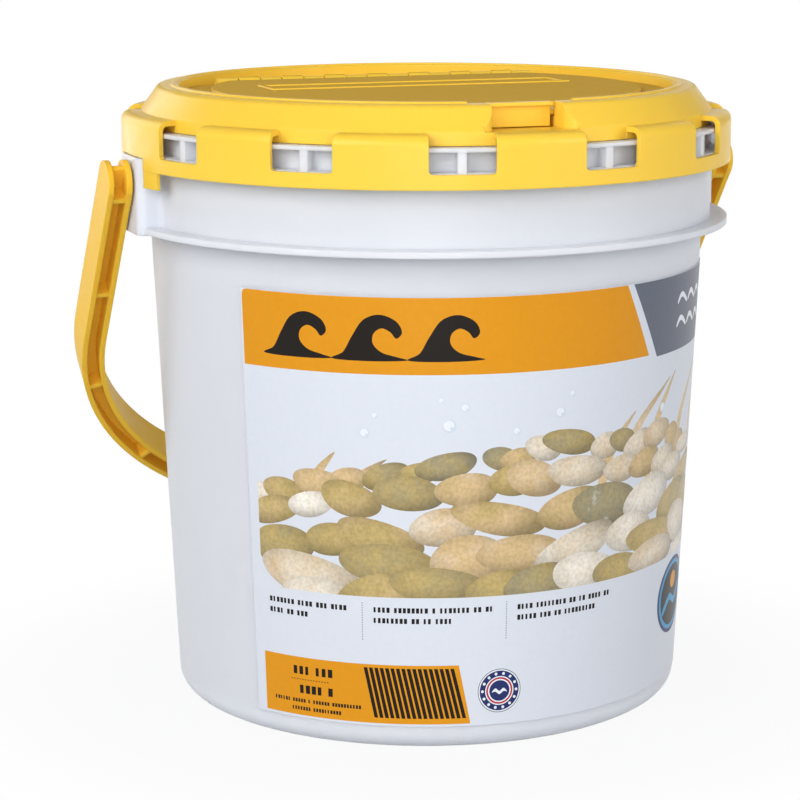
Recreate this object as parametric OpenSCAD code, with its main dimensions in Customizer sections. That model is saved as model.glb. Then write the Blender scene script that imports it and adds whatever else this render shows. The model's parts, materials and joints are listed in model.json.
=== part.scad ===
// Round bait pail with a press-on ring lid, a flip-up hatch and a swinging strap bail.
// Origin: centre of the underside. +Z up, -Y towards the hatch's finger tab, X along the bail's pivots.

/* [Pail] */
// Outside radius of the pail wall at the floor
pail_base_r = 104.75; // [95:0.25:108]
// Outside radius of the pail wall just under the stop flange
pail_top_r = 113.9; // [110:0.1:115]
// Thickness of the moulded pail wall
pail_wall = 2.2; // [1.6:0.1:3]
// Thickness of the pail floor
pail_floor = 2.8; // [2:0.1:5]
// Radius that rounds the pail's bottom corner
base_round = 8; // [4:0.5:12]
// Height of the stop flange's underside
flange_z = 196.8; // [180:0.1:200]
// Thickness of the stop flange
flange_t = 2.5; // [2:0.1:3]
// Outside radius of the stop flange
flange_r = 124; // [121:0.1:125]
// Outside radius of the straight collar above the flange
collar_r = 117; // [116.5:0.1:118]
// Height of the snap ledge's underside
ledge_z = 226.6; // [226:0.1:227.5]
// Thickness of the snap ledge
ledge_t = 1.7; // [1.2:0.1:2]
// Outside radius of the snap ledge and of the rim
rim_r = 122.4; // [121.5:0.1:122.5]
// Height of the pail's rim
rim_z = 237.6; // [237:0.1:238]
// Thickness of the rim flange
rim_t = 1.6; // [1.2:0.1:2.5]
// Width of the stiffening ribs between ledge and rim
rim_rib_w = 3.4; // [2:0.1:5]

/* [Bail ears] */
// Height of the bail's pivot axis
pivot_z = 212; // [211:0.5:213]
// How far an ear's outer face stands out beyond the lid's skirt
ear_stand = 0.9; // [0.5:0.1:1.5]
// Width of an ear
ear_w = 27; // [24:0.5:28]
// Radius that rounds an ear's outer corners
ear_round = 3.5; // [2:0.5:4.5]
// Radius of the hollow corner between an ear and the collar
ear_hollow = 2.5; // [1.5:0.5:3.5]
// How far an ear's foot reaches below the flange
ear_foot = 0.6; // [0.3:0.1:1.5]
// Radius of the bail's pivot pegs
peg_r = 3.5; // [3:0.1:3.6]
// Length of a peg inside its ear
peg_grip = 6.5; // [5:0.1:7]
// Radial running clearance round the pegs
peg_gap = 0.08; // [0.05:0.01:0.1]

/* [Lid] */
// Radial gap between the pail's rim and the lid's skirt
skirt_gap = 0.5; // [0.3:0.1:1.5]
// Wall thickness of the lid
lid_wall = 2.1; // [1.8:0.1:2.2]
// Height of the skirt's lower edge
skirt_z = 222.3; // [221.5:0.1:223]
// Height of the shelf that carries the windows
shelf_z = 242.6; // [242:0.1:243]
// Radius that rounds the skirt's top corner
skirt_round = 4; // [2.5:0.5:5]
// Radius at the foot of the raised ring
ring_foot_r = 117; // [116:0.1:118]
// Radius at the middle of the ring's rounded crown
ring_crown_r = 108.6; // [107.5:0.1:109]
// Radius that rounds the crown's outer edge
ring_round = 2.6; // [2.2:0.1:3]
// Height of the raised ring, without its lip bead
ring_z = 252.4; // [252:0.1:253]
// Inside radius of the raised ring
well_r = 101.4; // [101:0.1:101.8]
// Radius at the middle of the bead on the ring's crown
bead_r = 103.9; // [103.6:0.1:104.5]
// Width of that bead
bead_w = 2.6; // [2:0.1:3]
// Height of that bead
bead_h = 0.8; // [0.5:0.1:1.2]
// Height of the well floor that carries the hatch
well_z = 246.6; // [246:0.1:246.8]
// Radius of the opening under the hatch
mouth_r = 85; // [80:0.5:86]
// Distance from the centre to the opening's straight back edge
mouth_back_y = 52; // [40:0.5:52]
// Depth of the plug wall inside the pail's mouth
plug_depth = 6; // [3:0.5:12]
// Radial clearance between the plug wall and the pail's mouth
plug_gap = 0.5; // [0.3:0.05:1]

/* [Skirt windows] */
// Angle between the windows
window_pitch = 28.12; // [27.5:0.01:28.5]
// Width of a window, as an angle
window_angle = 11.6; // [9:0.1:13]
// Height of the windows' sill
window_z = 228; // [227.5:0.1:229]
// Radius of the windows' lower corners
window_round = 1.6; // [0.8:0.1:2.5]
// Gap between an ear's sides and the raised stretch of skirt over it
ear_side_gap = 1.5; // [1:0.1:2]
// Gap between an ear's top and the skirt's edge over it
ear_top_gap = 0.35; // [0.3:0.05:0.8]
// Width of the tongues beside each ear, as an angle
tongue_angle = 5.6; // [4:0.1:6]
// Height of the tongues' lower edge
tongue_z = 215.6; // [213:0.1:218]

/* [Hatch] */
// Width of the notch in the ring's front
notch_w = 29; // [27:0.5:32]
// Radius that rounds the ring's ends at the notch
notch_round = 5; // [3:0.5:7]
// Half the angle over which the lip bead stops at the notch
bead_stop_angle = 12; // [11:0.5:16]
// Radial clearance between the hatch and the ring
hatch_gap = 1.4; // [0.8:0.1:2]
// Thickness of the hatch's plate
hatch_t = 2; // [1.6:0.1:2.2]
// Gap between the hatch's plate and the well floor
hatch_lift = 0.4; // [0.3:0.05:0.6]
// Radius of the hatch's raised middle
plateau_r = 88; // [84:0.5:94]
// Height of the raised middle above the plate
plateau_h = 1.8; // [1:0.1:2.4]
// Width of the finger tab
tab_w = 25; // [18:0.5:26]
// Distance of the tab's face from the centre
tab_y = 101; // [100:0.1:101.4]
// Height of the tab's top
tab_z = 252.3; // [251.8:0.1:253]
// Width of the plain raised bar on the hatch
hatch_bar_w = 130; // [60:1:140]

/* [Hinge, hose hole and aerator clip] */
// Distance from the centre to the hatch's hinge axis
hinge_y = 62; // [61:0.5:66]
// Radius of the hatch's hinge knuckles
knuckle_r = 2.4; // [2.2:0.1:3]
// Radius of the lid's lower knuckles between them
lid_knuckle_r = 2; // [1.9:0.1:2.2]
// Distance from one hatch knuckle to the next
knuckle_pitch = 19.2; // [18:0.1:20]
// Radius of the hinge pin
pin_r = 1.25; // [1:0.05:1.3]
// Radial running clearance of the hatch's knuckles on the pin
pin_gap = 0.08; // [0.05:0.01:0.1]
// Radius of the air hose's hole
hose_hole_r = 4.75; // [3:0.05:6]
// Distance of the hose's hole from the centre plane
hose_x = 34; // [28:0.5:40]
// Distance of the hose's hole from the centre, towards the back
hose_y = 78; // [76:0.5:79]
// Length of the slot behind the aerator clip's bar
clip_slot_l = 38; // [24:1:40]
// Width of that slot
clip_slot_w = 6; // [5:0.5:7]

/* [Bail] */
// Gap between an ear's face and the strap
strap_gap = 1; // [0.9:0.1:2]
// Height of the round boss on the strap that faces an ear
boss_h = 0.5; // [0.3:0.1:0.6]
// Radius of that boss
boss_r = 6; // [4.5:0.5:7]
// Thickness of the H-shaped strap
strap_t = 9.6; // [8:0.1:9.8]
// Width of the strap
strap_w = 17.5; // [15:0.5:18]
// Thickness of the strap's outer and inner plates
plate_t = 2.2; // [1.8:0.1:3]
// Thickness of the web between the plates
web_t = 2.4; // [1.6:0.1:4]
// How far the web stops short of the strap's rounded end
web_end = 1; // [0.5:0.1:3]
// Distance from the pivot to the bow of the bail
arm_l = 78; // [70:1:90]
// Distance from the pivot to the bail's outermost point
bail_l = 199; // [198.5:0.5:210]
// Offset of the strap behind its pivot
strap_offset = 2; // [0:0.5:2]
// Height of the middle of the strap's rounded end above the pivot
end_z = 4; // [3:0.5:4]
// Angle at which the stored bail hangs behind the pail, from straight down
rest_angle = 37; // [37:0.1:42]

/* [Label] */
// Angle of the label's left edge, from the front
label_left = -59; // [-75:1:-40]
// Angle of the label's right edge, from the front
label_right = 66; // [40:1:75]
// Height of the label's lower edge
label_low_z = 10; // [9:0.5:30]
// Height of the label's upper edge
label_high_z = 181; // [120:0.5:190]
// Thickness of the label film
label_t = 0.25; // [0.2:0.05:0.5]

/* [Hidden] */
$fn = 128;
eps = 0.01;
// How far a rib or a tongue stands back from the face that it joins
step = 0.15;

// Pail: the wall leans out evenly from the floor to the flange
wall_slope = (pail_top_r - pail_base_r) / flange_z;
collar_in_r = collar_r - pail_wall;
function wall_r(z) = pail_base_r + wall_slope * z;
foot_groove_r = pail_base_r - 22;
foot_groove = 1;
skirt_r = rim_r + skirt_gap + lid_wall;

// Ears: they reach from the flange up into the snap ledge, and the skirt is cut out over them
ear_x = skirt_r + ear_stand;
ear_top_z = ledge_z + step;
ear_cut_z = ear_top_z + ear_top_gap;
ear_cut_angle = asin((ear_w / 2 + ear_side_gap) / skirt_r);
socket_slack = 1;

// Lid: its channel wall stands on the pail's rim, and its plug wall goes down inside the mouth
plug_r = collar_in_r - plug_gap;
rim_seat_gap = 0.2;
window_in_r = ring_foot_r - 0.3;
crown = [ring_crown_r, ring_z - ring_round];
foot = [ring_foot_r, shelf_z];
pan_r = tab_y - 6;
ring_end_angle = 11;
windows_each_side = 3;
window_angles = [for (side = [0, 180], i = [0 : 2 * windows_each_side - 1])
    side + (i - windows_each_side + 0.5) * window_pitch];

// Hatch: its plate lies in the ring's well and turns on the pin behind it
plate_z = well_z + hatch_lift;
plate_top_z = plate_z + hatch_t;
plateau_z = plate_top_z + plateau_h;
hatch_r = well_r - hatch_gap;
hinge_z = plate_z + knuckle_r;
knuckle_gap = 0.5;
knuckle_foot = knuckle_r + 1.6;
hatch_back_y = hinge_y - knuckle_foot + 0.7;
knuckle_l = knuckle_pitch / 2 - knuckle_gap;
hatch_knuckles = [for (i = [-3 : 3]) i * knuckle_pitch];
lid_knuckles = [for (i = [-3.5 : 3.5]) i * knuckle_pitch];
pin_l = 7 * knuckle_pitch + knuckle_l - 1;
tab_t = 2.2;
tab_d = 22;
tab_lip_h = 1.4;
bar_h = 0.6;
bar_d = 22;
bar_y = 13;
bar_line_w = 2.4;

// Bail: built hanging straight down from its pivot, then tilted back to rest
bail_x = ear_x + strap_gap + strap_t;
bow_a = bail_x;
bow_b = bail_l - arm_l;
bow_steps = 36;
end_r = strap_w / 2 + step;
end_top_z = end_z + end_r;
rib_t = 2;
rib_w = strap_w - 1;
arm_ribs = [-1.2, 51.8];
bow_ribs = [14.5, 41, 66];

// Point on the bow, moved in by a plate's depth; t runs from 0 at the arm to 90 at the middle
function bow_point(t, inset) =
    let (n = [bow_b * cos(t), bow_a * sin(t)], l = norm(n))
    [bow_a * cos(t) - inset * n[0] / l, -arm_l - bow_b * sin(t) + inset * n[1] / l];

// Closed outline of the bail's inside, at a depth below the strap's outer face and up to a height
function bail_outline(inset, top) = concat(
    [[bow_a - inset, top]],
    [for (i = [0 : bow_steps]) bow_point(90 * i / bow_steps, inset)],
    [for (i = [bow_steps - 1 : -1 : 0]) let (p = bow_point(90 * i / bow_steps, inset)) [-p[0], p[1]]],
    [[inset - bow_a, top]]);

// A box given by its middle in X and Y, and its lowest and highest Z
module block(x, y, w, d, z0, z1) {
    translate([x - w / 2, y - d / 2, z0])
        cube([w, d, z1 - z0]);
}

// A ring or a stretch of one, turned from a rectangle; angles count from the front towards +X
module band(r_in, r_out, z0, z1, from = 0, sweep = 360) {
    rotate([0, 0, from - 90])
        rotate_extrude(angle = sweep)
            translate([r_in, z0])
                square([r_out - r_in, z1 - z0]);
}

module pail_shell() {
    corner_x = pail_base_r - base_round + wall_slope * base_round;
    rotate_extrude()
        difference() {
            union() {
                polygon([[0, 0], [corner_x, 0], [wall_r(base_round), base_round],
                    [pail_top_r, flange_z], [pail_top_r, flange_z + flange_t], [0, flange_z + flange_t]]);
                translate([corner_x, base_round])
                    circle(r = base_round);
                translate([0, flange_z])
                    square([flange_r, flange_t]);
                translate([0, flange_z])
                    square([collar_r, rim_z - flange_z]);
                translate([0, ledge_z])
                    square([rim_r, ledge_t]);
                translate([0, rim_z - rim_t])
                    square([rim_r, rim_t]);
            }
            translate([-flange_r, -eps - base_round])
                square([flange_r, rim_z + 2 * base_round]);
            polygon([[0, pail_floor], [wall_r(0) - base_round, pail_floor],
                [wall_r(base_round) - pail_wall, base_round + pail_wall],
                [pail_top_r - pail_wall, flange_z], [pail_top_r - pail_wall, flange_z + flange_t],
                [collar_in_r, flange_z + flange_t], [collar_in_r, rim_z + eps], [0, rim_z + eps]]);
            translate([foot_groove_r, -eps])
                square([2 * foot_groove, foot_groove]);
        }
}

// Plan of an ear's half, at the side of positive Y: hollow corner at the collar, rounded outer corner
function ear_half() =
    let (side_y = ear_w / 2, hollow_y = side_y + ear_hollow,
        hollow = [sqrt(pow(collar_r + ear_hollow, 2) - hollow_y * hollow_y), hollow_y],
        start = 180 + atan2(hollow[1], hollow[0]),
        outer = [ear_x - ear_round, side_y - ear_round])
    concat([hollow + (ear_hollow + step) * [cos(start), sin(start)]],
        [for (i = [1 : 5]) let (a = start + i / 5 * (270 - start)) hollow + ear_hollow * [cos(a), sin(a)]],
        [for (i = [6 : -1 : 0]) outer + ear_round * [cos(15 * i), sin(15 * i)]]);

// One ear with its blind socket, at the +X side
module ear() {
    half = ear_half();
    difference() {
        intersection() {
            translate([0, 0, flange_z - ear_foot])
                linear_extrude(ear_top_z - flange_z + ear_foot)
                    polygon(concat([[collar_in_r, half[0][1]]], half,
                        [for (i = [len(half) - 1 : -1 : 0]) [half[i][0], -half[i][1]]],
                        [[collar_in_r, -half[0][1]]]));
            band(collar_in_r + pail_wall / 2, 2 * ear_x, 0, rim_z);
        }
        translate([ear_x - peg_grip - socket_slack, 0, pivot_z])
            rotate([0, 90, 0])
                cylinder(r = peg_r + peg_gap, h = peg_grip + 2 * socket_slack);
    }
}

module pail() {
    color("#E4E9F2") {
        pail_shell();
        for (a = window_angles)
            band(collar_r - eps, rim_r - step, ledge_z + ledge_t - eps, rim_z - rim_t + eps,
                a - rim_rib_w / rim_r * 90 / PI, rim_rib_w / rim_r * 180 / PI);
        ear();
        mirror([1, 0, 0])
            ear();
    }
}

// Thin film on the pail's wall, a layer of glue away from it
module label_film() {
    glue_t = 0.1;
    low_r = wall_r(label_low_z) + glue_t;
    high_r = wall_r(label_high_z) + glue_t;
    color("#EFAE30")
        rotate([0, 0, label_left - 90])
            rotate_extrude(angle = label_right - label_left)
                polygon([[low_r, label_low_z], [low_r + label_t, label_low_z],
                    [high_r + label_t, label_high_z], [high_r, label_high_z]]);
}

// Section of the lid's skirt, shelf, channel wall and plug wall
module lid_section() {
    translate([skirt_r - lid_wall, skirt_z])
        square([lid_wall, shelf_z - skirt_round - skirt_z]);
    translate([plug_r - lid_wall, shelf_z - lid_wall])
        square([skirt_r - skirt_round - plug_r + lid_wall, lid_wall]);
    translate([plug_r - lid_wall, rim_z + rim_seat_gap])
        square([ring_foot_r - plug_r + lid_wall, shelf_z - rim_z - rim_seat_gap]);
    translate([plug_r - lid_wall, rim_z - plug_depth])
        square([lid_wall, plug_depth + 1]);
    translate([skirt_r - skirt_round, shelf_z - skirt_round])
        intersection() {
            difference() {
                circle(r = skirt_round);
                circle(r = skirt_round - lid_wall);
            }
            square(skirt_round + 1);
        }
}

// Where a line from a point touches a circle, on the circle's upper side
function touch(centre, r, from) =
    let (d = from - centre, a = atan2(d[1], d[0]) + acos(r / norm(d)))
    centre + r * [cos(a), sin(a)];

// Inside of the raised ring's section, at a depth below its outer faces
module ring_fill(depth, foot_z) {
    low = [ring_foot_r - depth, foot_z];
    polygon([[well_r + depth, foot_z], low, touch(crown, ring_round - depth, low),
        [ring_crown_r, ring_z - depth], [well_r + depth, ring_z - depth]]);
}

// Section of the raised ring, hollow from below, with the whole well floor inside it
module ring_section() {
    under_z = shelf_z - lid_wall;
    difference() {
        union() {
            polygon([[0, well_z - lid_wall], [well_r, well_z - lid_wall], [well_r, under_z],
                [ring_foot_r, under_z], foot, touch(crown, ring_round, foot), crown,
                [ring_crown_r, ring_z], [well_r, ring_z], [well_r, well_z], [0, well_z]]);
            translate(crown)
                circle(r = ring_round);
        }
        ring_fill(lid_wall, under_z - 1);
    }
}

module lip_bead() {
    top_half = (bead_w - bead_h) / 2;
    rotate([0, 0, bead_stop_angle - 90])
        rotate_extrude(angle = 360 - 2 * bead_stop_angle)
            translate([bead_r, ring_z])
                polygon([[-bead_w / 2, -eps], [bead_w / 2, -eps], [top_half, bead_h], [-top_half, bead_h]]);
}

// Solid ends of the ring beside the notch, and the pan below the finger tab
module ring_ends() {
    under_z = shelf_z - lid_wall;
    rotate([0, 0, -ring_end_angle - 90])
        rotate_extrude(angle = 2 * ring_end_angle) {
            ring_fill(lid_wall / 2, under_z);
            translate([pan_r - lid_wall, under_z])
                square([well_r - pan_r + 2 * lid_wall, well_z - under_z - lid_wall / 2]);
        }
}

// Quarter of a small circle in short flats, from an angle on
function corner(x, z, r, from) =
    [for (i = [0 : 3]) [x + r * cos(from + 30 * i), z + r * sin(from + 30 * i)]];

// Outline of a window, standing on its sill, with rounded lower corners
module window_outline(width, height) {
    in_x = width / 2 - window_round;
    polygon(concat([[width / 2, height], [-width / 2, height]],
        corner(-in_x, window_round, window_round, 180), corner(in_x, window_round, window_round, 270)));
}

// One window: a cut through the skirt, open on the shelf
module window_cut(angle) {
    chord = 2 * skirt_r * sin(window_angle / 2);
    rotate([0, 0, angle])
        difference() {
            translate([0, 0, window_z])
                rotate([90, 0, 0])
                    linear_extrude(skirt_r + 1)
                        window_outline(chord, shelf_z - window_z + 1);
            translate([0, 0, window_z - 1])
                cylinder(r = window_in_r, h = shelf_z);
        }
}

// The notch for the finger tab, with the ring's ends rounded in plan
module notch_cut() {
    round_y = -ring_crown_r;
    block(0, -pan_r - skirt_r / 2, notch_w, skirt_r, shelf_z, ring_z + 4);
    for (side = [-1, 1])
        difference() {
            block(side * (notch_w + notch_round) / 2, round_y - 10, notch_round, 20, shelf_z, ring_z + 4);
            translate([side * (notch_w / 2 + notch_round), round_y, 0])
                cylinder(r = notch_round, h = 2 * shelf_z);
        }
}

// A hinge knuckle along X, joined to a plate behind it (1) or in front of it (-1)
module knuckle(x, radius, foot_dir, foot_z) {
    translate([x - knuckle_l / 2, hinge_y, hinge_z])
        rotate([0, 90, 0])
            cylinder(r = radius, h = knuckle_l);
    block(x, hinge_y + foot_dir * knuckle_foot / 2, knuckle_l, knuckle_foot, foot_z, hinge_z);
}

// The room that a lid's knuckle takes in the hatch's back edge
module knuckle_room(x) {
    block(x, hinge_y, knuckle_l + 2 * knuckle_gap, 2 * (knuckle_r + knuckle_gap), 0, 2 * shelf_z);
}

module pin_bore(radius, length) {
    translate([-length / 2, hinge_y, hinge_z])
        rotate([0, 90, 0])
            cylinder(r = radius, h = length);
}

// Flat outline of the hatch and of the mouth below it: a disc cut straight at the back
module hatch_outline(radius, back_y) {
    intersection() {
        circle(r = radius);
        translate([-2 * radius, back_y - 4 * radius])
            square(4 * radius);
    }
}

module ring_lid() {
    clip_y = hose_y + 2;
    collar_h = 1.4;
    color("#FFDB58")
        difference() {
            union() {
                rotate_extrude()
                    lid_section();
                rotate_extrude()
                    ring_section();
                ring_ends();
                lip_bead();
                for (a = [90, 270], side = [-1, 1])
                    band(skirt_r - lid_wall + step, skirt_r - step, tongue_z, skirt_z + 1,
                        a + side * (ear_cut_angle + tongue_angle / 2) - tongue_angle / 2, tongue_angle);
                for (x = lid_knuckles)
                    knuckle(x, lid_knuckle_r, 1, well_z - eps);
                translate([hose_x, hose_y, well_z - lid_wall])
                    cylinder(r = hose_hole_r + lid_wall, h = lid_wall + collar_h);
            }
            translate([0, 0, well_z - lid_wall - 1])
                linear_extrude(lid_wall + 2)
                    hatch_outline(mouth_r, mouth_back_y);
            for (a = window_angles)
                window_cut(a);
            for (a = [90, 270])
                band(skirt_r - lid_wall - 1, skirt_r + 1, skirt_z - 1, ear_cut_z,
                    a - ear_cut_angle, 2 * ear_cut_angle);
            notch_cut();
            pin_bore(pin_r, pin_l);
            translate([hose_x, hose_y, 0])
                cylinder(r = hose_hole_r, h = 2 * shelf_z);
            block(-hose_x / 2, clip_y - clip_slot_w, clip_slot_l, clip_slot_w, 0, 2 * shelf_z);
            block(-hose_x / 2, clip_y + clip_slot_w, clip_slot_l, clip_slot_w, 0, 2 * shelf_z);
        }
}

module hatch() {
    wall_w = 2.2;
    wall_h = 3;
    wall_gap = 1.2;
    wall_r = mouth_r - wall_gap;
    wall_y = mouth_back_y - wall_gap;
    lip = 0.8;
    color("#F2C744")
        difference() {
            union() {
                translate([0, 0, plate_z])
                    linear_extrude(hatch_t)
                        hatch_outline(hatch_r, hatch_back_y);
                translate([0, 0, plate_z])
                    linear_extrude(hatch_t + plateau_h)
                        hatch_outline(plateau_r, hatch_back_y - 2);
                // finger tab: tongue, face and lip
                block(0, -tab_y + tab_d / 2, tab_w, tab_d - 1, plate_z, plateau_z);
                block(0, -tab_y + tab_t / 2, tab_w, tab_t, shelf_z + hatch_lift, tab_z);
                block(0, -tab_y + tab_t / 2 - lip, tab_w + 1, tab_t + 2 * lip, tab_z - tab_lip_h, tab_z);
                for (x = hatch_knuckles)
                    knuckle(x, knuckle_r, -1, plate_z);
                // plain raised frame on the hatch's middle
                difference() {
                    block(0, bar_y, hatch_bar_w, bar_d, plateau_z - eps, plateau_z + bar_h);
                    block(0, bar_y, hatch_bar_w - 2 * bar_line_w, bar_d - 2 * bar_line_w,
                        0, 2 * plateau_z);
                }
                // locating wall that drops into the mouth
                translate([0, 0, plate_z - wall_h])
                    linear_extrude(wall_h + eps)
                        hatch_outline(wall_r, wall_y);
            }
            // hollow inside that wall, up into the raised middle
            translate([0, 0, plate_z - wall_h - 1])
                linear_extrude(wall_h + 1 + plateau_h)
                    hatch_outline(wall_r - wall_w, wall_y - wall_w);
            pin_bore(pin_r + pin_gap, 2 * skirt_r);
            for (x = lid_knuckles)
                knuckle_room(x);
        }
}

module hatch_hinge_pin() {
    color("#B9BCC0")
        pin_bore(pin_r, pin_l);
}

// A layer of the strap between two depths, as wide and as high at its ends as given
module strap_layer(inset, thick, width, top) {
    rotate([90, 0, 0])
        translate([0, 0, -width / 2])
            linear_extrude(width)
                difference() {
                    polygon(bail_outline(inset, top));
                    translate([0, eps])
                        polygon(bail_outline(inset + thick, top));
                }
}

// What the strap's rounded ends leave off its plates
module end_cut() {
    difference() {
        block(0, 0, 2 * bail_x + 2, strap_w + 2, end_z, end_z + strap_w);
        translate([-bail_x - 2, 0, end_z])
            rotate([0, 90, 0])
                cylinder(r = end_r, h = 2 * bail_x + 4);
    }
}

// Boss and peg at a pivot, at the +X side
module bail_pivot() {
    in_x = bail_x - strap_t;
    translate([in_x - boss_h, 0, 0])
        rotate([0, 90, 0])
            cylinder(r = boss_r, h = boss_h + plate_t / 2);
    translate([ear_x - peg_grip, 0, 0])
        rotate([0, 90, 0])
            cylinder(r = peg_r, h = in_x - ear_x + peg_grip + plate_t / 3);
}

module bail_handle() {
    color("#F4C838")
        translate([0, 0, pivot_z])
            rotate([rest_angle, 0, 0]) {
                translate([0, strap_offset, 0]) {
                    difference() {
                        union() {
                            strap_layer(0, plate_t, strap_w, end_top_z + 1);
                            strap_layer(strap_t - plate_t, plate_t, strap_w, end_top_z + 1);
                        }
                        end_cut();
                    }
                    strap_layer(plate_t - eps, strap_t - 2 * plate_t + 2 * eps, web_t,
                        end_top_z - web_end);
                    for (side = [-1, 1], z = arm_ribs)
                        block(side * (bail_x - strap_t / 2), 0, strap_t - eps, rib_w,
                            -z - rib_t / 2, -z + rib_t / 2);
                    for (side = [-1, 1], t = bow_ribs) {
                        p = bow_point(t, strap_t / 2);
                        translate([side * p[0], 0, p[1]])
                            rotate([0, side * atan2(bow_a * sin(t), bow_b * cos(t)), 0])
                                cube([strap_t - eps, rib_w, rib_t], center = true);
                    }
                    block(0, 0, rib_t, rib_w, -bail_l + eps, -bail_l + strap_t - eps);
                }
                bail_pivot();
                mirror([1, 0, 0])
                    bail_pivot();
            }
}

pail();
label_film();
ring_lid();
hatch();
hatch_hinge_pin();
bail_handle();
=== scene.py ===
"""Round bait pail with a printed label, a press-on ring lid, a flip-up hatch and a strap bail."""
import json
import math
import random

import bmesh
import bpy
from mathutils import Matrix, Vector
from mathutils.geometry import delaunay_2d_cdt

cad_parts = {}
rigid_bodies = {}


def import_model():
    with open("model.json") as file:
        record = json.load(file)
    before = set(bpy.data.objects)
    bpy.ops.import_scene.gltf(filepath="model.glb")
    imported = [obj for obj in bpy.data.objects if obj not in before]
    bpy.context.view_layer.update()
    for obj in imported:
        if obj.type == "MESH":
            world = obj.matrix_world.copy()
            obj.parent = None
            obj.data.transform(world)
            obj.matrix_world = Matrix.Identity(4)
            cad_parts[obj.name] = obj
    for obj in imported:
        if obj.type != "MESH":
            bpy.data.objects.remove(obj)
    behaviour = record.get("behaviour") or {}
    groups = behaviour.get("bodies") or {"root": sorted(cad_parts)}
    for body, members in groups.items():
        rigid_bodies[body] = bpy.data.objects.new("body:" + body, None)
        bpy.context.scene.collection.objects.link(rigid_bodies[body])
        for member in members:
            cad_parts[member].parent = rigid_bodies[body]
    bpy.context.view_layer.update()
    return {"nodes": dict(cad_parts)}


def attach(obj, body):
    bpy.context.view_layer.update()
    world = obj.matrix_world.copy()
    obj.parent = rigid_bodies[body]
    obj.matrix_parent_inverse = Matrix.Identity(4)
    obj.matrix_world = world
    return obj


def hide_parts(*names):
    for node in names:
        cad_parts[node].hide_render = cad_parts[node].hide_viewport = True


for leftover in list(bpy.data.objects):
    bpy.data.objects.remove(leftover)
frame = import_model()
scene = bpy.context.scene

# ---- Camera ----
# A long lens a little above the lid, 20 degrees to the left of the finger tab.
# The small sideways shift puts the pail where the picture's frame has it.
degrees_down = 11.29
degrees_from_tab = 20.3
camera_data = bpy.data.cameras.new("camera")
camera_data.sensor_width = 36
camera_data.lens = 118.5
camera_data.shift_x = -0.0328
camera = bpy.data.objects.new("camera", camera_data)
camera.location = (-0.3773, -1.0200, 0.33625)
camera.rotation_euler = (math.radians(90 - degrees_down), 0, math.radians(-degrees_from_tab))
scene.collection.objects.link(camera)
scene.camera = camera


# ---- Pail ----
# One injection-moulded pail of white HDPE: floor, tapered wall, stop flange, collar, snap ledge,
# ribbed rim and two bail ears. HDPE looks soft and slightly waxy, with a faint orange-peel skin.
def linear(code):
    """An sRGB hex colour as linear RGBA."""
    parts = [int(code[i:i + 2], 16) / 255 for i in (1, 3, 5)]
    return [p / 12.92 if p <= 0.04045 else ((p + 0.055) / 1.055) ** 2.4 for p in parts] + [1.0]


def add(material, kind, settings=None, **sockets):
    """Adds a shader node. A socket takes a value or another node's output, and in_2 is the third input."""
    made = material.node_tree.nodes.new("ShaderNode" + kind)
    for name, value in (settings or {}).items():
        setattr(made, name, value)
    for name, value in sockets.items():
        numbered = name.startswith("in_")
        socket = made.inputs[int(name[3:]) if numbered else name.replace("_", " ")]
        if isinstance(value, bpy.types.NodeSocket):
            material.node_tree.links.new(value, socket)
        else:
            socket.default_value = value
    return made


def blank_material(name):
    """A material with an empty node tree."""
    material = bpy.data.materials.new(name)
    material.use_nodes = True
    material.node_tree.nodes.clear()
    return material


def moulded_plastic(name, tone, other_tone, gloss, skin_mm, skin_depth_mm, depth_glow, glow_mm,
                    edge_mm, sheen, through=0.0, through_tone="#FFFFFF"):
    """Moulded polyolefin: two close tones that drift over the part, a satin gloss that varies a little,
    an orange-peel skin of that width and depth, light that soaks in by glow_mm for each colour, edges
    that the mould leaves rounded by edge_mm, and a share of light that comes through the wall tinted."""
    drift_mm = 45.5
    handling_mm = 6.25
    material = blank_material(name)
    place = add(material, "TexCoord").outputs["Object"]
    drift = add(material, "TexNoise", Vector=place, Scale=1000 / drift_mm, Detail=2.0)
    colour = add(material, "Mix", {"data_type": "RGBA"}, in_0=drift.outputs["Fac"],
                 in_6=linear(tone), in_7=linear(other_tone))
    handling = add(material, "TexNoise", Vector=place, Scale=1000 / handling_mm, Detail=3.0)
    rough = add(material, "MapRange", Value=handling.outputs["Fac"], in_1=0.35, in_2=0.65,
                in_3=gloss - 0.04, in_4=gloss + 0.05)
    skin = add(material, "TexNoise", Vector=place, Scale=1000 / skin_mm, Detail=2.0)
    edge = add(material, "Bevel", {"samples": 6}, Radius=edge_mm / 1000)
    bump = add(material, "Bump", Height=skin.outputs["Fac"], Distance=skin_depth_mm / 1000,
               Strength=1.0, Normal=edge.outputs[0])
    shader = add(material, "BsdfPrincipled", Base_Color=colour.outputs[2],
                 Roughness=rough.outputs[0], Normal=bump.outputs[0], IOR=1.5,
                 Specular_IOR_Level=sheen, Subsurface_Weight=depth_glow, Subsurface_Scale=0.001,
                 Subsurface_Radius=glow_mm)
    glow = add(material, "BsdfTranslucent", Color=linear(through_tone), Normal=bump.outputs[0])
    wall = add(material, "MixShader", in_0=through, in_1=shader.outputs[0], in_2=glow.outputs[0])
    add(material, "OutputMaterial", Surface=wall.outputs[0])
    return material


# milky all through, so light goes some millimetres in and the shadows on it stay soft
white_hdpe = moulded_plastic("white moulded HDPE", "#E6EAF3", "#E0E5EF", 0.36, 1.6, 0.006,
                             0.7, (7.0, 7.0, 7.0), 0.8, sheen=0.4, through=0.1, through_tone="#FFF8EC")
frame["nodes"]["pail"].data.materials[0] = white_hdpe

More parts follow.
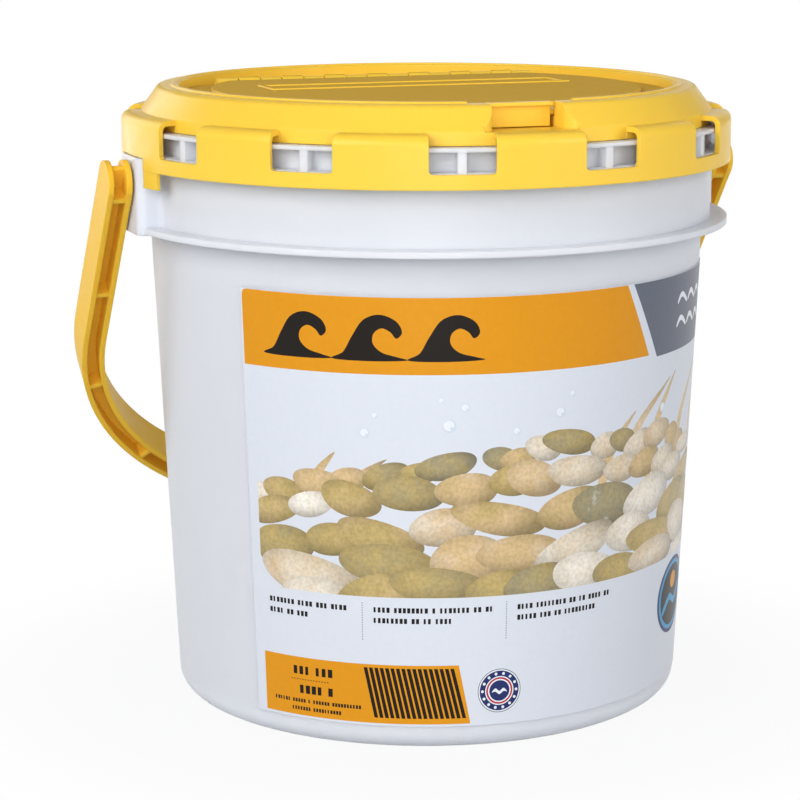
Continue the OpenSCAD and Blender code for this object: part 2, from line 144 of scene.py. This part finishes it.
# ---- Label ----
# One printed polypropylene film, moulded into the pail's front, so its edge stands up by a hair only.
# Its bands, picture, badges and rows of blocks are inks of one print, cut here as one mesh. Its sizes
# are in mm: x runs along the film from the pail's front, and z goes up from the pail's foot.
wall_low_r = 104.75
wall_high_r = 113.9
wall_high_z = 196.8
label_mid_r = 109.3
film_lift = 0.32
film_thickness = 0.18


def on_wall(x, z):
    """A point of the flat label put on the film's face, in metres."""
    turn = x / label_mid_r
    r = (wall_low_r + (wall_high_r - wall_low_r) * z / wall_high_z + film_lift) / 1000
    return Vector((r * math.sin(turn), -r * math.cos(turn), z / 1000))


def across(degrees):
    """Distance along the flat label for an angle from the pail's front."""
    return math.radians(degrees) * label_mid_r


def box_shape(x0, z0, x1, z1):
    """A rectangle between two corners."""
    return [(x0, z0), (x1, z0), (x1, z1), (x0, z1)]


def oval_shape(x, z, rx, rz, turn=0.0, lumps=0.0, phase=0.0, steps=40):
    """An ellipse, turned, with a low lumpiness for stones."""
    out = []
    for i in range(steps):
        t = 2 * math.pi * i / steps
        swell = 1 + lumps * math.sin(2 * t + phase) + 0.6 * lumps * math.sin(3 * t + 2.1 * phase)
        u = rx * swell * math.cos(t)
        v = rz * swell * math.sin(t)
        out.append((x + u * math.cos(turn) - v * math.sin(turn),
                    z + u * math.sin(turn) + v * math.cos(turn)))
    return out


def curved_shape(corners, steps=6):
    """A closed smooth curve through the corners."""
    out = []
    count = len(corners)
    for i in range(count):
        before, start, end, after = (corners[(i + k - 1) % count] for k in range(4))
        for s in range(steps):
            t = s / steps
            out.append(tuple(
                0.5 * (2 * start[k] + (end[k] - before[k]) * t
                       + (2 * before[k] - 5 * start[k] + 4 * end[k] - after[k]) * t * t
                       + (3 * start[k] - before[k] - 3 * end[k] + after[k]) * t ** 3) for k in (0, 1)))
    return out


def placed(outline, x, z, wide=1.0, high=1.0):
    """An outline scaled, then moved to a place."""
    return [(x + wide * u, z + high * v) for u, v in outline]


def printed_ink(name, tone, other_tone, gloss=0.34):
    """Screened ink under clear film: even, with a fine uneven lay-down and a satin face."""
    lay_mm = 2.4
    film_wave_mm = 11.0
    material = blank_material(name)
    place = add(material, "TexCoord").outputs["Object"]
    lay = add(material, "TexNoise", Vector=place, Scale=1000 / lay_mm, Detail=3.0)
    colour = add(material, "Mix", {"data_type": "RGBA"}, in_0=lay.outputs["Fac"],
                 in_6=linear(tone), in_7=linear(other_tone))
    wave_noise = add(material, "TexNoise", Vector=place, Scale=1000 / film_wave_mm, Detail=2.0)
    bump = add(material, "Bump", Height=wave_noise.outputs["Fac"], Distance=0.00004, Strength=0.6)
    shader = add(material, "BsdfPrincipled", Base_Color=colour.outputs[2], Roughness=gloss,
                 Normal=bump.outputs[0], IOR=1.49, Specular_IOR_Level=0.2)
    add(material, "OutputMaterial", Surface=shader.outputs[0])
    return material


def picture_ink():
    """The stones and leaves of the printed picture: each has its own tone, light on its crown and
    darker towards its edge, with mottles and fine specks of river stone."""
    vein_mm = 13.33
    speck_mm = 1.43
    material = blank_material("printed river stones")
    place = add(material, "TexCoord").outputs["Object"]
    crown = add(material, "Attribute", {"attribute_name": "crown"}).outputs["Fac"]
    kind = add(material, "Attribute", {"attribute_name": "kind"}).outputs["Fac"]
    veins = add(material, "TexNoise", Vector=place, Scale=1000 / vein_mm, Detail=5.0, Roughness=0.65)
    pick = add(material, "Math", {"operation": "MULTIPLY_ADD"}, in_0=veins.outputs["Fac"],
               in_1=0.45, in_2=kind)
    ramp = add(material, "ValToRGB", Fac=pick.outputs[0])
    stops = [(0.20, "#E6E1D8"), (0.42, "#CFC4B2"), (0.60, "#C2A77C"), (0.76, "#A8935A"),
             (0.92, "#8C8468"), (1.0, "#D9D3CB")]
    elements = ramp.color_ramp.elements
    while len(elements) < len(stops):
        elements.new(0.5)
    for element, (at, tone) in zip(elements, stops):
        element.position = at
        element.color = linear(tone)
    shade = add(material, "MapRange", Value=crown, in_1=0.0, in_2=1.0, in_3=0.55, in_4=1.25)
    specks = add(material, "TexNoise", Vector=place, Scale=1000 / speck_mm, Detail=2.0)
    dust = add(material, "MapRange", Value=specks.outputs["Fac"], in_1=0.35, in_2=0.6, in_3=0.86,
               in_4=1.04)
    both = add(material, "Math", {"operation": "MULTIPLY"}, in_0=shade.outputs[0], in_1=dust.outputs[0])
    colour = add(material, "VectorMath", {"operation": "SCALE"}, in_0=ramp.outputs[0],
                 Scale=both.outputs[0])
    shader = add(material, "BsdfPrincipled", Base_Color=colour.outputs[0], Roughness=0.34, IOR=1.49)
    add(material, "OutputMaterial", Surface=shader.outputs[0])
    return material


inks = {
    "film": printed_ink("clear-coated white film", "#D5D9E1", "#D0D5DE", 0.33),
    "orange": printed_ink("orange ink", "#DA9319", "#D38C15"),
    "black": printed_ink("warm black ink", "#130E0B", "#1A130E"),
    "grey": printed_ink("slate grey ink", "#656B78", "#5E6470"),
    "paper": printed_ink("white ink", "#E4E7EC", "#DEE2E8"),
    "haze": printed_ink("pale water tint", "#CBD4DF", "#C4CEDA"),
    "stones": picture_ink(),
    "navy": printed_ink("navy ink", "#1F2A5C", "#263166"),
    "red": printed_ink("red ink", "#B32A34", "#A8242E"),
    "sky": printed_ink("light blue ink", "#3E9BC9", "#3590BE"),
}
ink_names = list(inks)
shapes = []                     # (ink, outline, crown centre and radii or None, kind of stone)


def ink(name, outline, crown=None, kind=0.0):
    """Prints one shape. A later shape covers an earlier one."""
    shapes.append((name, outline, crown, kind))


label_left = across(-59.4)
label_right = across(65.8)
label_low = 10.2
label_high = 180.9
ink("film", box_shape(label_left, label_low, label_right, label_high))

# orange band with a rounded upper left corner, and the grey field beyond its slanted end
band_left = across(-59.0)
band_low = 151.0
band_high = 180.7
corner = 2.2
corner_middle = 0.6
ink("orange", [(band_left, band_low), (across(31.0), band_low), (across(23.1), band_high),
               (band_left + corner, band_high), (band_left + corner_middle, band_high - corner_middle),
               (band_left, band_high - corner)])
grey_low = 149.7
ink("grey", [(across(34.0), grey_low), (label_right, grey_low), (label_right, band_high),
             (across(24.9), band_high)])

# a row of plain breaking waves on the band, and two light ripples on the grey field
wave = [(-0.02, 0.0), (0.14, 0.16), (0.27, 0.52), (0.43, 0.88), (0.66, 1.0), (0.88, 0.86), (0.96, 0.62),
        (0.88, 0.48), (0.80, 0.62), (0.68, 0.70), (0.57, 0.58), (0.56, 0.36), (0.68, 0.17), (0.90, 0.07),
        (1.02, 0.0), (0.5, -0.03)]
wave_low = 156.6
wave_w = 27.0
wave_h = 17.5
wave_pitch = 28.6
for k in range(3):
    ink("black", curved_shape(placed(wave, across(-53.5) + wave_pitch * k, wave_low, wave_w, wave_h)))
ripple = [(0, 0), (2.6, 2.1), (5.2, 2.1), (9.5, -0.4), (9.9, 0.9), (5.4, 4.2), (2.2, 4.2), (-0.4, 1.2)]
for ripple_z in (168.5, 159.0):
    for angle in (42.5, 48.5, 54.5):
        ink("paper", curved_shape(placed(ripple, across(angle), ripple_z), 4))

# picture: grass blades behind a drift of river stones, in the tones of a pale river bed
random.seed(11)
picture_left = across(-57.0)
picture_right = label_right - 0.5
picture_low = 62.8
drift_left = across(-56)
drift_right = across(62)
drift_span = across(118)
drift_crest = 20
stone_rows = [(108, 9.0), (99, 12.0), (88, 15.0), (77, 17.0), (68, 15.0)]      # height, stone size
stones = []
for row, (row_z, size) in enumerate(stone_rows):
    x = drift_left + 6 * row
    while x < drift_right:
        rx = size * random.uniform(0.75, 1.35)
        rz = size * random.uniform(0.42, 0.62)
        bow = math.sin((x - drift_left) / drift_span * math.pi * 0.9)
        rise = drift_crest * bow * (1 - 0.16 * row) - 8
        stones.append((x + random.uniform(-3, 3), row_z + rise + random.uniform(-2.5, 2.5), rx, rz,
                       random.uniform(-0.25, 0.3), random.uniform(0, 6.28), random.random()))
        x += rx * random.uniform(1.25, 1.6)
blades = [(18, 100, 30, 0.62), (24, 104, 36, 0.9), (33, 102, 40, 0.5), (44, 100, 43, 0.75),
          (56, 98, 44, 0.45), (-45, 96, 24, 0.5), (-38, 98, 20, 0.95)]        # angle, foot, length, lean
for angle, foot_z, tall, lean in blades:
    foot_x = across(angle)
    bend_x = foot_x + tall * lean * 0.30
    bend_z = foot_z + tall * 0.58
    blade = curved_shape([(foot_x - 2.0, foot_z), (bend_x - 2.2, bend_z),
                          (foot_x + tall * lean, foot_z + tall), (bend_x + 1.9, bend_z - 1.4),
                          (foot_x + 2.0, foot_z)])
    ink("stones", blade, (foot_x, foot_z, tall * 0.9, tall * 1.5), 0.36)
least_seen_w = 2
least_seen_h = 1.5
for x, z, rx, rz, turn, phase, kind in stones:
    outline = oval_shape(x, z, rx, rz, turn, 0.045, phase)
    outline = [(max(min(u, picture_right), picture_left), max(v, picture_low)) for u, v in outline]
    seen_w = max(u for u, _ in outline) - picture_left
    seen_h = max(v for _, v in outline) - picture_low
    if seen_w > least_seen_w and seen_h > least_seen_h:
        ink("stones", outline, (x - 0.2 * rx, z + 0.25 * rz, rx, rz), 0.05 + 0.62 * kind)

# bubbles over the stones, each with a light face and a small spot of shade
bubbles = [(-30, 131, 2.6), (-24, 138, 1.7), (-33, 141, 1.1), (-62, 128, 1.9), (-58, 135, 1.2),
           (14, 134, 2.2), (19, 141, 1.3), (-4, 128, 1.5), (72, 128, 2.0), (97, 122, 1.6)]
for x, z, r in bubbles:
    ink("haze", oval_shape(x, z, r, r, steps=28))
    ink("paper", oval_shape(x - 0.1 * r, z + 0.1 * r, 0.78 * r, 0.78 * r, steps=28))
    ink("haze", oval_shape(x + 0.34 * r, z - 0.34 * r, 0.24 * r, 0.24 * r, steps=16))


def block_row(x, z, groups, high, pitch):
    """A row of small plain dark blocks of uneven widths, in groups with gaps between them."""
    for count in groups:
        for _ in range(count):
            wide = pitch * random.choice((0.62, 0.72, 0.72, 0.5))
            ink("black", box_shape(x, z, x + wide, z + high))
            x += pitch
        x += 0.75 * pitch


# three columns of two block rows under the picture, with dotted lines between them
small_h = 2.1
small_pitch = 1.72
columns_of_blocks = [(-55.0, (7, 4, 3, 4), (4, 2, 3)),
                     (-31.2, (4, 8, 1, 7, 2, 2), (8, 2, 2, 4)),
                     (-1.1, (4, 8, 2, 2, 4, 2), (5, 3, 2, 9))]
for angle, upper_row, lower_row in columns_of_blocks:
    block_row(across(angle), 56.6, upper_row, small_h, small_pitch)
    block_row(across(angle), 52.3, lower_row, small_h, small_pitch)
dot_pitch = 0.98
for angle in (-33.7, -3.6):
    for k in range(16):
        dot_z = 45.2 + dot_pitch * k
        ink("grey", box_shape(across(angle), dot_z, across(angle) + 0.4, dot_z + 0.42))

# lower orange block with block rows, a dotted line and a comb of slanted dark bars
ink("orange", [(across(-57.0), 11.2), (across(-10.9), 11.2), (across(-13.5), 35.3), (across(-57.0), 35.3)])
large_h = 3.4
large_pitch = 2.7
block_row(across(-49.6), 28.2, (3, 3), large_h, large_pitch)
block_row(across(-48.2), 20.4, (4, 1), large_h, large_pitch)
for k in range(14):
    dot_x = across(-50.2) + 1.25 * k
    ink("black", box_shape(dot_x, 25.9, dot_x + 0.55, 26.3))
block_row(across(-54.5), 16.5, (6, 5, 1, 6, 10), 1.5, 1.26)
block_row(across(-50.2), 13.3, (7, 10), 1.5, 1.26)
bar_w = 1.5
bar_low = 13.5
bar_high = 34.0
foot_pitch = (across(-11.9) - across(-31.3)) / 16.6
head_pitch = (across(-14.6) - across(-33.5)) / 16.6
for k in range(17):
    foot_x = across(-31.3) + foot_pitch * k
    head_x = across(-33.5) + head_pitch * k
    ink("black", [(foot_x, bar_low), (foot_x + bar_w, bar_low), (head_x + bar_w, bar_high),
                  (head_x, bar_high)])

# round badge: a navy ring with a circle of dots, a thin red ring and a navy middle with a ripple
round_x = across(-4.7)
round_z = 24.0
round_r = 9.0
for name, share in (("grey", 1.0), ("paper", 0.965), ("navy", 0.91), ("paper", 0.66), ("red", 0.61),
                    ("paper", 0.53), ("navy", 0.47)):
    ink(name, oval_shape(round_x, round_z, share * round_r, share * round_r, steps=56))
round_ripple = [(-3.2, -0.6), (-1.7, 1.0), (0, -0.2), (1.7, 1.0), (3.2, -0.6), (1.7, -0.3), (0, -1.5),
                (-1.7, -0.3)]
ink("paper", curved_shape(placed(round_ripple, round_x, round_z), 4))
dots = 14
dot_r = 0.6
dot_circle_r = 0.785 * round_r
for k in range(dots):
    t = 2 * math.pi * k / dots
    ink("paper", oval_shape(round_x + dot_circle_r * math.cos(t), round_z + dot_circle_r * math.sin(t),
                            dot_r, dot_r, steps=14))

# oval badge at the label's right, with a ripple and a small disc
oval_x = across(51.2)
oval_z = 44.5
for name, share in (("navy", 1.0), ("sky", 0.9), ("black", 0.8)):
    ink(name, oval_shape(oval_x, oval_z, 19.0 * share, 16.2 * share, steps=56))
oval_ripple = [(-12, -4), (-4, 1), (4, -2), (12, 3), (12, 0), (4, -5), (-4, -2), (-12, -7)]
ink("sky", curved_shape(placed(oval_ripple, oval_x, oval_z), 5))
ink("orange", oval_shape(oval_x, oval_z + 6.2, 4.2, 3.6, steps=28))

# The shapes are cut into one flat sheet, with upright and level lines that let it bend round the wall.
least_step = 0.02
points = []
edges = []
faces = []
for _, outline, _, _ in shapes:
    clean = [p for i, p in enumerate(outline) if (Vector(p) - Vector(outline[i - 1])).length > least_step]
    if sum(a[0] * b[1] - b[0] * a[1] for a, b in zip(clean, clean[1:] + clean[:1])) < 0:
        clean.reverse()
    faces.append(list(range(len(points), len(points) + len(clean))))
    points += [Vector(p) for p in clean]
columns = 90
for i in range(1, columns):
    x = label_left + (label_right - label_left) * i / columns
    edges.append((len(points), len(points) + 1))
    points += [Vector((x, label_low)), Vector((x, label_high))]
rows = 24
row_pitch = 3.4
for i in range(rows):
    z = picture_low + 0.1 + row_pitch * i
    edges.append((len(points), len(points) + 1))
    points += [Vector((label_left, z)), Vector((label_right, z))]
spots, _, cells, _, _, owners = delaunay_2d_cdt(points, edges, faces, 1, 0.004, True)

# Each cell takes the ink of the last shape that covers it, and is put on the wall.
label_mesh = bmesh.new()
wall_spots = [label_mesh.verts.new(on_wall(p.x, p.y)) for p in spots]
crown_layer = label_mesh.loops.layers.float.new("crown")
kind_layer = label_mesh.loops.layers.float.new("kind")
for cell, owner in zip(cells, owners):
    if not owner or len(set(cell)) < 3:
        continue
    name, _, crown, kind = shapes[max(owner)]
    face = label_mesh.faces.new([wall_spots[i] for i in cell])
    face.material_index = ink_names.index(name)
    face.smooth = True
    for loop, i in zip(face.loops, cell):
        loop[kind_layer] = kind
        if crown:
            u = (spots[i].x - crown[0]) / crown[2]
            v = (spots[i].y - crown[1]) / crown[3]
            loop[crown_layer] = max(0.0, 1.0 - 0.62 * (u * u + v * v))
bmesh.ops.delete(label_mesh, geom=[v for v in label_mesh.verts if not v.link_faces], context="VERTS")
for face in label_mesh.faces:
    face.normal_update()
    if face.normal.dot(face.calc_center_median() * Vector((1, 1, 0))) < 0:
        face.normal_flip()
label_data = bpy.data.meshes.new("printed_label")
label_mesh.to_mesh(label_data)
label_mesh.free()
for name in ink_names:
    label_data.materials.append(inks[name])
label = bpy.data.objects.new("printed_label", label_data)
scene.collection.objects.link(label)
film = label.modifiers.new("film", "SOLIDIFY")
film.thickness = film_thickness / 1000
film.offset = -1
label.data = bpy.data.meshes.new_from_object(label.evaluated_get(bpy.context.evaluated_depsgraph_get()))
label.modifiers.clear()
label.data.set_sharp_from_angle(angle=math.radians(40))
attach(label, "pail")
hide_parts("label_film")

# ---- Ring lid ----
# The press-on lid is one moulding of yellow polypropylene: windowed skirt, shelf, hollow raised ring
# with a lip bead, and the well that holds the hatch. It takes light in, so recesses glow orange.
yellow_pp = moulded_plastic("yellow moulded polypropylene", "#FFD34A", "#FDCE42", 0.34, 2.0, 0.008,
                            0.3, (2.4, 1.8, 0.8), 0.5, sheen=0.3, through=0.08, through_tone="#FFA21E")
frame["nodes"]["ring_lid"].data.materials[0] = yellow_pp


# ---- Hatch ----
# The flip-up door is a second moulding of the same polypropylene, with a fine texture on top that
# dulls it, a raised middle, a plain raised frame and the finger tab in the ring's notch. The top's
# tones are painted darker than the rest: painted shade for the little light that falls on it from above.
def merged_copy(node, name):
    """A copy of a CAD node with its vertices merged, smooth over its curves and sharp at its corners."""
    work = bmesh.new()
    work.from_mesh(frame["nodes"][node].data)
    bmesh.ops.remove_doubles(work, verts=work.verts, dist=2e-6)
    bmesh.ops.dissolve_degenerate(work, edges=work.edges, dist=1e-6)
    for face in work.faces:
        face.smooth = True
    mesh = bpy.data.meshes.new(name)
    work.to_mesh(mesh)
    work.free()
    if "custom_normal" in mesh.attributes:
        mesh.attributes.remove(mesh.attributes["custom_normal"])
    mesh.set_sharp_from_angle(angle=math.radians(28))
    mesh.materials.clear()
    piece = bpy.data.objects.new(name, mesh)
    scene.collection.objects.link(piece)
    return piece


hatch_pp = moulded_plastic("smooth side of the hatch's polypropylene", "#FFD34A", "#FDCE42", 0.34, 2.0,
                           0.008, 0.3, (2.4, 1.8, 0.8), 0.4, sheen=0.3, through=0.08,
                           through_tone="#FFA21E")
# painted shade: these tones are darker than the hatch's own yellow, standing in for the dim light from
# above
hatch_top_shaded_pp = moulded_plastic("textured top of the hatch's polypropylene", "#DBAC36", "#D4A52F", 0.8,
                               0.9, 0.03, 0.1, (2.4, 1.8, 0.8), 0.4, sheen=0.1)
hatch = merged_copy("hatch", "flip_up_hatch")
hatch.data.materials.append(hatch_pp)
hatch.data.materials.append(hatch_top_shaded_pp)
# the texture and the darker tones of painted shade cover the faces that look up, as far forward as
# the finger tab, which is smooth
tab_back_y = -0.085
for face in hatch.data.polygons:
    face.material_index = int(face.normal.z > 0.9 and face.center.y > tab_back_y)
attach(hatch, "hatch")
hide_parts("hatch")

# ---- Hinge pin ----
# A straight piece of drawn stainless wire through the knuckles. Drawing leaves fine lines along it,
# a quarter of a millimetre apart and some centimetres long.
line_gap_mm = 0.25
line_length_mm = 25
wire = blank_material("drawn stainless wire")
wire_place = add(wire, "TexCoord").outputs["Object"]
wire_stretch = add(wire, "Mapping", Vector=wire_place,
                   Scale=(1000 / line_length_mm, 1000 / line_gap_mm, 1000 / line_gap_mm))
wire_lines = add(wire, "TexNoise", Vector=wire_stretch.outputs[0], Scale=1.0, Detail=2.0)
wire_tone = add(wire, "Mix", {"data_type": "RGBA"}, in_0=wire_lines.outputs["Fac"],
                in_6=linear("#B7B9BD"), in_7=linear("#C9CBCE"))
wire_bump = add(wire, "Bump", Height=wire_lines.outputs["Fac"], Distance=0.00002, Strength=0.6)
wire_shader = add(wire, "BsdfPrincipled", Base_Color=wire_tone.outputs[2], Metallic=1.0, Roughness=0.28,
                  Normal=wire_bump.outputs[0])
add(wire, "OutputMaterial", Surface=wire_shader.outputs[0])
frame["nodes"]["hatch_hinge_pin"].data.materials[0] = wire

# ---- Bail ----
# The carrying bail is one strap of yellow polypropylene with an H section: two plates, a web between
# them and cross ribs, moulded with a low boss and a peg at each end. It is duller than the lid.
bail_pp = moulded_plastic("yellow moulded strap", "#FFCE44", "#FCC83C", 0.42, 2.2, 0.008,
                          0.3, (2.4, 1.8, 0.8), 0.8, sheen=0.08, through=0.1, through_tone="#FFA21E")
frame["nodes"]["bail_handle"].data.materials[0] = bail_pp

# ---- Floor and light ----
# A pale matt floor under soft studio lamps: three in front, the strongest at the left, and two weak
# ones low behind. Away from the pail the floor turns to the backdrop's white, past the pail's shadow.
floor_half = 4
floor_data = bpy.data.meshes.new("floor")
floor_data.from_pydata([(-floor_half, -floor_half, 0), (floor_half, -floor_half, 0),
                        (floor_half, floor_half, 0), (-floor_half, floor_half, 0)], [], [(0, 1, 2, 3)])
floor = bpy.data.objects.new("floor", floor_data)
scene.collection.objects.link(floor)
matt = blank_material("pale matt floor")
floor_place = add(matt, "TexCoord").outputs["Object"]
distance = add(matt, "VectorMath", {"operation": "LENGTH"}, in_0=floor_place)
fade = add(matt, "MapRange", {"interpolation_type": "SMOOTHSTEP"}, Value=distance.outputs["Value"],
           in_1=0.12, in_2=0.24, in_3=0.93, in_4=1.0)
grain_mm = 3.33
grain = add(matt, "TexNoise", Vector=floor_place, Scale=1000 / grain_mm)
floor_tone = add(matt, "Mix", {"data_type": "RGBA"}, in_0=grain.outputs["Fac"],
                 in_6=linear("#A9ABAF"), in_7=linear("#B0B1B4"))
matt_shader = add(matt, "BsdfPrincipled", Base_Color=floor_tone.outputs[2], Roughness=0.8)
white = add(matt, "Emission", Color=(1, 1, 1, 1), Strength=1.0)
path = add(matt, "LightPath")
seen = add(matt, "Math", {"operation": "MAXIMUM"}, in_0=path.outputs["Is Camera Ray"],
           in_1=path.outputs["Is Glossy Ray"])
white_share = add(matt, "Math", {"operation": "MULTIPLY"}, in_0=seen.outputs[0], in_1=fade.outputs[0])
floor_mix = add(matt, "MixShader", in_0=white_share.outputs[0], in_1=matt_shader.outputs[0],
                in_2=white.outputs[0])
add(matt, "OutputMaterial", Surface=floor_mix.outputs[0])
floor_data.materials.append(matt)


def soft_lamp(name, place, size, watts):
    """A square softbox that faces the pail's middle."""
    pail_middle = Vector((0, 0, 0.13))
    data = bpy.data.lights.new(name, "AREA")
    data.size = size
    data.energy = watts
    lamp = bpy.data.objects.new(name, data)
    lamp.location = place
    lamp.rotation_euler = (pail_middle - Vector(place)).to_track_quat("-Z", "Y").to_euler()
    scene.collection.objects.link(lamp)


soft_lamp("softbox front left", (-1.45, -0.85, 1.00), 1.2, 23)
soft_lamp("softbox front right", (1.05, -1.15, 0.70), 1.1, 11)
soft_lamp("softbox by the camera", (-0.50, -1.55, 0.36), 0.9, 9)
soft_lamp("softbox back right", (0.80, 1.45, 0.50), 1.2, 3)
soft_lamp("softbox back left", (-0.75, 1.50, 0.45), 1.2, 9)

# The room's own light is weaker from above, and the camera sees plain white behind the floor.
world = bpy.data.worlds.new("studio")
world.use_nodes = True
world.node_tree.nodes.clear()
scene.world = world
world_path = add(world, "LightPath")
world_dir = add(world, "SeparateXYZ", Vector=add(world, "TexCoord").outputs["Generated"])
above = add(world, "MapRange", Value=world_dir.outputs["Z"], in_1=0.1, in_2=0.9, in_3=0.36, in_4=0.2)
room = add(world, "Background", Color=(0.96, 0.98, 1.0, 1), Strength=above.outputs[0])
backdrop = add(world, "Background", Color=(1, 1, 1, 1), Strength=1.0)
world_mix = add(world, "MixShader", in_0=world_path.outputs["Is Camera Ray"], in_1=room.outputs[0],
                in_2=backdrop.outputs[0])
add(world, "OutputWorld", Surface=world_mix.outputs[0])
scene.view_settings.view_transform = "Standard"
